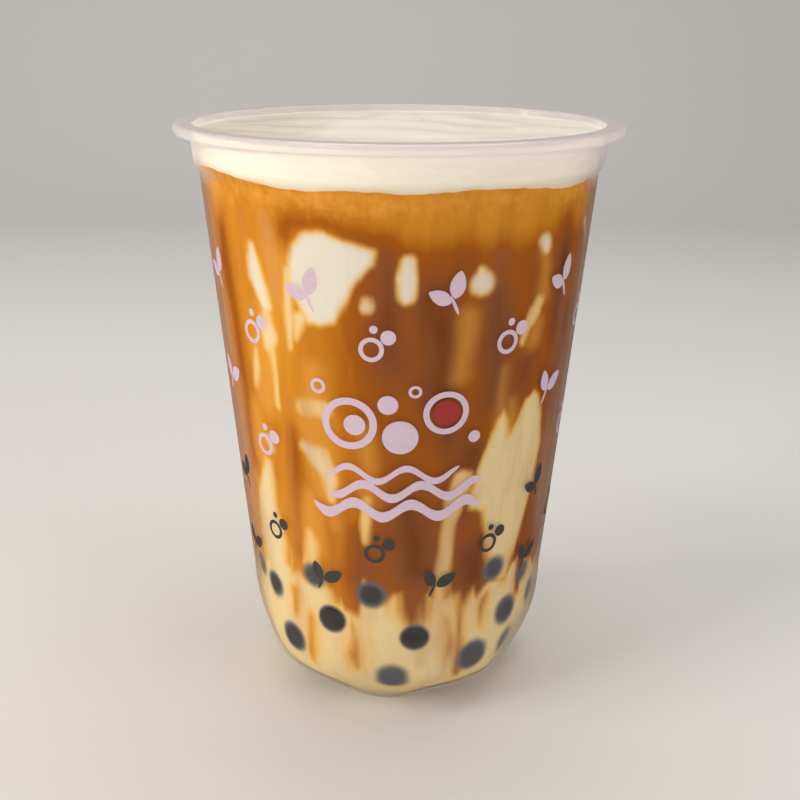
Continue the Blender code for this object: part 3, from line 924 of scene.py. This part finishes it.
def makeTea(pearls):
    look = teaLook
    inset = cupForm["wall"] - look["reach"]
    lastLevel = look["levelDepth"]  # below it the rings are level, above it they follow the foam's line

    def shoulderRing(along):
        def ring(angle):
            depth = lastLevel + (foamUnderDepth(angle) - lastLevel) * along
            return wallRadius(depth, inset), depth

        return ring

    base, recess, wall, shoulder, top = look["rings"]
    rings = baseRings(inset, base, recess)[::-1]
    rings += wallRings(cupForm["baseTop"], lastLevel, wall, inset)
    rings += [shoulderRing(along) for along in np.linspace(0.0, 1.0, shoulder)[1:]]
    rings += [underRing(edge, inset) for edge in np.linspace(1.0, 0.0, top)[1:]]
    piece, turn, _ = turnPiece("marbled_milk_tea", rings, look["steps"])

    points = vertexPoints(piece)
    radius = axisDistance(points)
    place, climbed = np.degrees(turn), climb(points[:, 2])
    noises = grains(points, look["noises"])
    swayed = look["sway"] * noises["drift"] + look["waver"] * noises["waver"]
    angle = place + np.degrees(swayed / radius)
    level = climbed + look["rise"] * noises["rise"]
    chains, tongues, umber, glow, patches = ruledMarbling()

    ribbon = noises["ribbon"]
    milk = level - look["milkLine"] - look["driftRise"] * noises["drift"] - look["ribbonRise"] * ribbon
    cream = np.full(len(points), 0.12)
    for whiteness, corners in milkPatches + patches:
        near = patchDistance(corners, angle, level, radius)
        cream = np.where(near < milk, whiteness, cream)
        milk = np.minimum(milk, near)
    for whiteness, spots in milkChains + chains:
        near = chainDistance(spots, angle, level, radius)
        cream = np.where(near < milk, whiteness, cream)
        milk = np.minimum(milk, near)
    for spots in teaChains + tongues:
        milk = np.maximum(milk, -chainDistance(spots, angle, level, radius))
    low = eased(level, *look["low"])
    milk = (milk + look["ribbonEdge"] * ribbon * low) / (look["milkSoft"] + look["lowSoft"] * low)

    # Painted shade on the tea's sides, fading out just under the foam and deeper low down
    side = sum(share * eased(place, start, end) for start, end, share in look["sides"])
    shadow = side * eased(level, *look["sideTop"]) * (1.0 + look["lowMore"] * eased(level, *look["sideLow"]))
    dark = softSpots(umberChains + umber, look["umberSpread"], angle, level, radius)
    light = softSpots(glowChains + glow, look["glowSpread"], angle, level, radius)
    setField(piece, "milk", np.clip(0.5 - milk, 0.0, 1.0))
    setField(piece, "cream", cream)
    # The umber field: an even tone, the brown sugar's dark streaks and the painted side shade
    setField(piece, "umber", look["evenUmber"] + look["umberShare"] * dark + look["sideShade"] * shadow)
    setField(piece, "glow", look["glowShare"] * light)
    setField(piece, "pearl", pearlShade(pearls, place, climbed, radius))
    finishPiece(piece, teaMaterial())
    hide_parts("milk_tea")
    print("milk tea is made:", len(piece.data.polygons), "faces")


# Tapioca pearls: cooked starch, smooth and wet, nearly black

pearlLook = {"dark": "#1E2124", "light": "#3A3D3C"}


def pearlMaterial():
    material, tree, place = newMaterial("cooked tapioca")
    cloud = addNode(tree, "TexNoise", {"Vector": place, "Scale": patternScale(3.0)})
    colour = addNode(tree, "Mix", {
        0: cloud, 6: toLinear(pearlLook["dark"]), 7: toLinear(pearlLook["light"])}, data_type="RGBA", out=2)
    shader = addNode(tree, "BsdfPrincipled", {"Base Color": colour, "Roughness": 0.35})
    addNode(tree, "OutputMaterial", {"Surface": shader})
    return material


def wallFrame(angleDeg, height, inset):
    # Place on the wall, and the directions across, up along and out of it, from two points beside it
    turn = math.radians(angleDeg)
    depth = cupForm["height"] - height
    here = wallPoint(turn, depth, inset)
    above = wallPoint(turn, depth - 0.4, inset)
    beside = wallPoint(turn + 0.01, depth, inset)
    up = (above - here).normalized()
    across = (beside - here).normalized()
    out = across.cross(up).normalized()
    return here, across, up, out


def wallPoint(turn, depth, inset):
    if depth <= cupForm["baseTop"]:
        radius = wallRadius(depth, inset)
    else:
        turns = np.linspace(0.0, math.pi / 2, 90)
        rings = [baseRing(t, inset)(np.array([turn])) for t in turns]
        depths = [ring[1][0] for ring in rings]
        radius = np.interp(depth, depths, [ring[0][0] for ring in rings])
    return Vector((radius * math.sin(turn), -radius * math.cos(turn), cupForm["height"] - depth))


def makePearls(pearls):
    draw = np.random.default_rng(pearlSet["seed"] + 1)
    parts = []
    for angle, height, size, near, tilt in pearls:
        if near < pearlSet["touching"]:
            continue
        here, across, up, out = wallFrame(angle, height, cupForm["wall"] - teaLook["reach"])
        deselect()
        bpy.ops.mesh.primitive_uv_sphere_add(segments=32, ring_count=20, radius=1.0)
        pearl = bpy.context.object
        wide = pearlSet["across"] * size
        reach = (wide, wide * draw.uniform(*pearlSet["squash"]), pearlSet["inward"])
        editAll()
        bpy.ops.transform.resize(value=[r * mm for r in reach], center_override=(0, 0, 0))
        bpy.ops.object.mode_set(mode="OBJECT")
        centre = here - out * (pearlSet["inward"] - pearlSet["poke"] * (0.35 + 0.65 * near))
        flat = Matrix((across, up, out)).transposed().to_4x4()
        turned = flat @ Matrix.Rotation(math.radians(tilt), 4, "Z")
        pearl.data.transform(Matrix.Translation(centre * mm) @ turned)
        parts.append(pearl)
    piece = joinParts("tapioca_pearls", parts)
    finishPiece(piece, pearlMaterial())
    print("pearls are made:", len(parts))


# Print: screen-printed ink in flat colours, a plain pattern of sprigs and bubbles over waves

printLook = {
    "lift": 0.02, "thick": 0.04, "taper": 2.5, "leastTaper": 0.0025,
    "pale": "#D8C0CF", "dark": "#4A4643", "red": "#A8322C",
    "rows": [  # height, angle of the first motif, motifs round the cup, motif, ink, size, tilt
        (101, 14, 9, "sprig", "pale", 1, 24), (91, -6, 9, "bubbles", "pale", 1, 0),
        (78, 54, 9, "sprig", "pale", 1, -24), (66, 74, 9, "bubbles", "pale", 1, 0),
        (55, 54, 9, "sprig", "dark", 0.9, 24), (45.5, -6, 9, "bubbles", "dark", 0.9, 0),
        (37.5, 14, 9, "sprig", "dark", 0.9, -24),
    ],
    "emblem": {"height": 68.0, "half": 38.0, "low": 52.0, "high": 86.0},
    # The emblem about its middle: waves (width, thickness, rise, pitch, x, y) and discs (radius, x, y, hole)
    "waves": [(37, 2.4, 1.5, 12, 0, -13), (33, 2, 1.5, 12, 2, -8.6),
              (28, 1.5, 1.5, 12, -1, -4.8)],
    "discs": [(5.6, -9.5, 6.2, 4.1), (3.6, 0.6, 3.6, 0), (4.6, 9.6, 8.6, 3.4), (2, -1.8, 10.6, 0),
              (1.3, 3.4, 13.4, 0.7), (1.6, -15.6, 13.6, 0.9), (1.3, 15.8, 2.8, 0), (2.2, -8.4, 6, 0)],
    "redDisc": (2.7, 9.6, 8.6),
    # The motifs about their own middles: leaves (length, width, x, y, tilt) and discs as above
    "sprig": [(5.6, 3.1, 0.5, -1.2, -34), (5, 2.8, -0.4, -1.6, 40), (4.4, 0.7, 0, -4.6, 0)],
    "bubbles": [(2.5, -0.9, -0.9, 1.6), (1.5, 2.4, 1.6, 0), (0.8, -0.4, 3.2, 0)],
}


def inkMaterial(name, code):
    # Screen ink: an even matt film, very slightly uneven in cover
    material, tree, place = newMaterial(name)
    cover = addNode(tree, "TexNoise", {"Vector": place, "Scale": patternScale(1.4)})
    shade = tuple(c * 0.86 for c in toLinear(code)[:3]) + (1.0,)
    colour = addNode(tree, "Mix", {0: cover, 6: shade, 7: toLinear(code)}, data_type="RGBA", out=2)
    shader = addNode(tree, "BsdfPrincipled", {"Base Color": colour, "Roughness": 0.45})
    addNode(tree, "OutputMaterial", {"Surface": shader})
    return material


def leafShape(length, width, x, y, tiltDeg):
    deselect()
    bpy.ops.mesh.primitive_grid_add(x_subdivisions=5, y_subdivisions=12, size=2.0)
    leaf = bpy.context.object
    for vert in leaf.data.vertices:
        u, v = vert.co.x, vert.co.y
        half = width / 2 * (1.0 - v * v) ** 0.75 * (1.0 - 0.18 * v)  # widest a little below its middle
        vert.co = (u * half, (v + 1.0) * length / 2, 0.0)
    leaf.data.transform(Matrix.Translation((x, y, 0)) @ Matrix.Rotation(math.radians(tiltDeg), 4, "Z"))
    return leaf


def discShape(radius, x, y, hole=0.0):
    deselect()
    bpy.ops.mesh.primitive_circle_add(vertices=40, radius=radius)
    disc = bpy.context.object
    editAll()
    bpy.ops.mesh.extrude_region_move(TRANSFORM_OT_translate={"value": (0, 0, 0)})
    inner = hole / radius if hole else 0.5
    bpy.ops.transform.resize(value=(inner, inner, 1.0), center_override=(0, 0, 0))
    if not hole:
        bpy.ops.mesh.edge_face_add()
        bpy.ops.mesh.poke()
    bpy.ops.object.mode_set(mode="OBJECT")
    disc.data.transform(Matrix.Translation((x, y, 0)))
    return disc


def waveShape(width, thick, rise, pitch, x, y):
    deselect()
    bpy.ops.mesh.primitive_grid_add(x_subdivisions=72, y_subdivisions=2, size=2.0)
    wave = bpy.context.object
    for vert in wave.data.vertices:
        u, v = vert.co.x * width / 2, vert.co.y
        taper = max(min(1.0, (width / 2 - abs(u)) / printLook["taper"]), printLook["leastTaper"]) ** 0.5
        vert.co = (u + x, y + rise * math.sin(2.0 * math.pi * u / pitch) + v * thick / 2 * taper, 0.0)
    return wave


def sprig(size):
    leaves = printLook["sprig"]
    return [leafShape(*(size * measure for measure in leaf), tilt) for *leaf, tilt in leaves]


def bubbles(size):
    return [discShape(*(size * measure for measure in disc)) for disc in printLook["bubbles"]]


def emblem():
    pale = [waveShape(*wave) for wave in printLook["waves"]]
    pale += [discShape(*disc) for disc in printLook["discs"]]
    return pale, [discShape(*printLook["redDisc"])]


def wrapShapes(shapes, angleDeg, height, tiltDeg=0.0):
    turned = Matrix.Rotation(math.radians(tiltDeg), 4, "Z")
    for shape in shapes:
        shape.data.transform(turned)
        for vert in shape.data.vertices:
            depth = cupForm["height"] - height - vert.co.y
            radius = wallRadius(depth) + printLook["lift"]
            angle = math.radians(angleDeg) + vert.co.x / wallRadius(cupForm["height"] - height)
            vert.co = Vector((radius * math.sin(angle), -radius * math.cos(angle), height + vert.co.y)) * mm


def joinPrint(name, shapes, code, materialName):
    piece = joinParts(name, shapes)
    film = piece.modifiers.new("film", "SOLIDIFY")
    film.thickness = printLook["thick"] * mm
    film.offset = 0.0
    bpy.ops.object.modifier_apply(modifier="film")
    editAll()
    bpy.ops.mesh.normals_make_consistent(inside=False)
    bpy.ops.object.mode_set(mode="OBJECT")
    finishPiece(piece, inkMaterial(materialName, code))
    piece.visible_shadow = False  # the ink's shade would fall on the drink as a hard outline


def makePrint():
    inks = {"pale": [], "dark": [], "red": []}
    middle = printLook["emblem"]
    for height, first, count, motif, ink, size, tilt in printLook["rows"]:
        for i in range(count):
            angle = (first + 360.0 * i / count + 180.0) % 360.0 - 180.0
            if middle["low"] < height < middle["high"] and abs(angle) < middle["half"]:
                continue
            shapes = sprig(size) if motif == "sprig" else bubbles(size)
            wrapShapes(shapes, angle, height, tilt)
            inks[ink] += shapes
    pale, red = emblem()
    wrapShapes(pale + red, 0.0, middle["height"])
    inks["pale"] += pale
    inks["red"] += red
    for ink, words in (("pale", "pale lilac"), ("dark", "dark grey"), ("red", "red")):
        joinPrint("print_" + ink, inks[ink], printLook[ink], words + " screen ink")
    print("print is made")


makeCamera()
makeStudio()
makeCup()
makeFoam()
pearls = pearlPlaces()
makeTea(pearls)
makePearls(pearls)
makePrint()
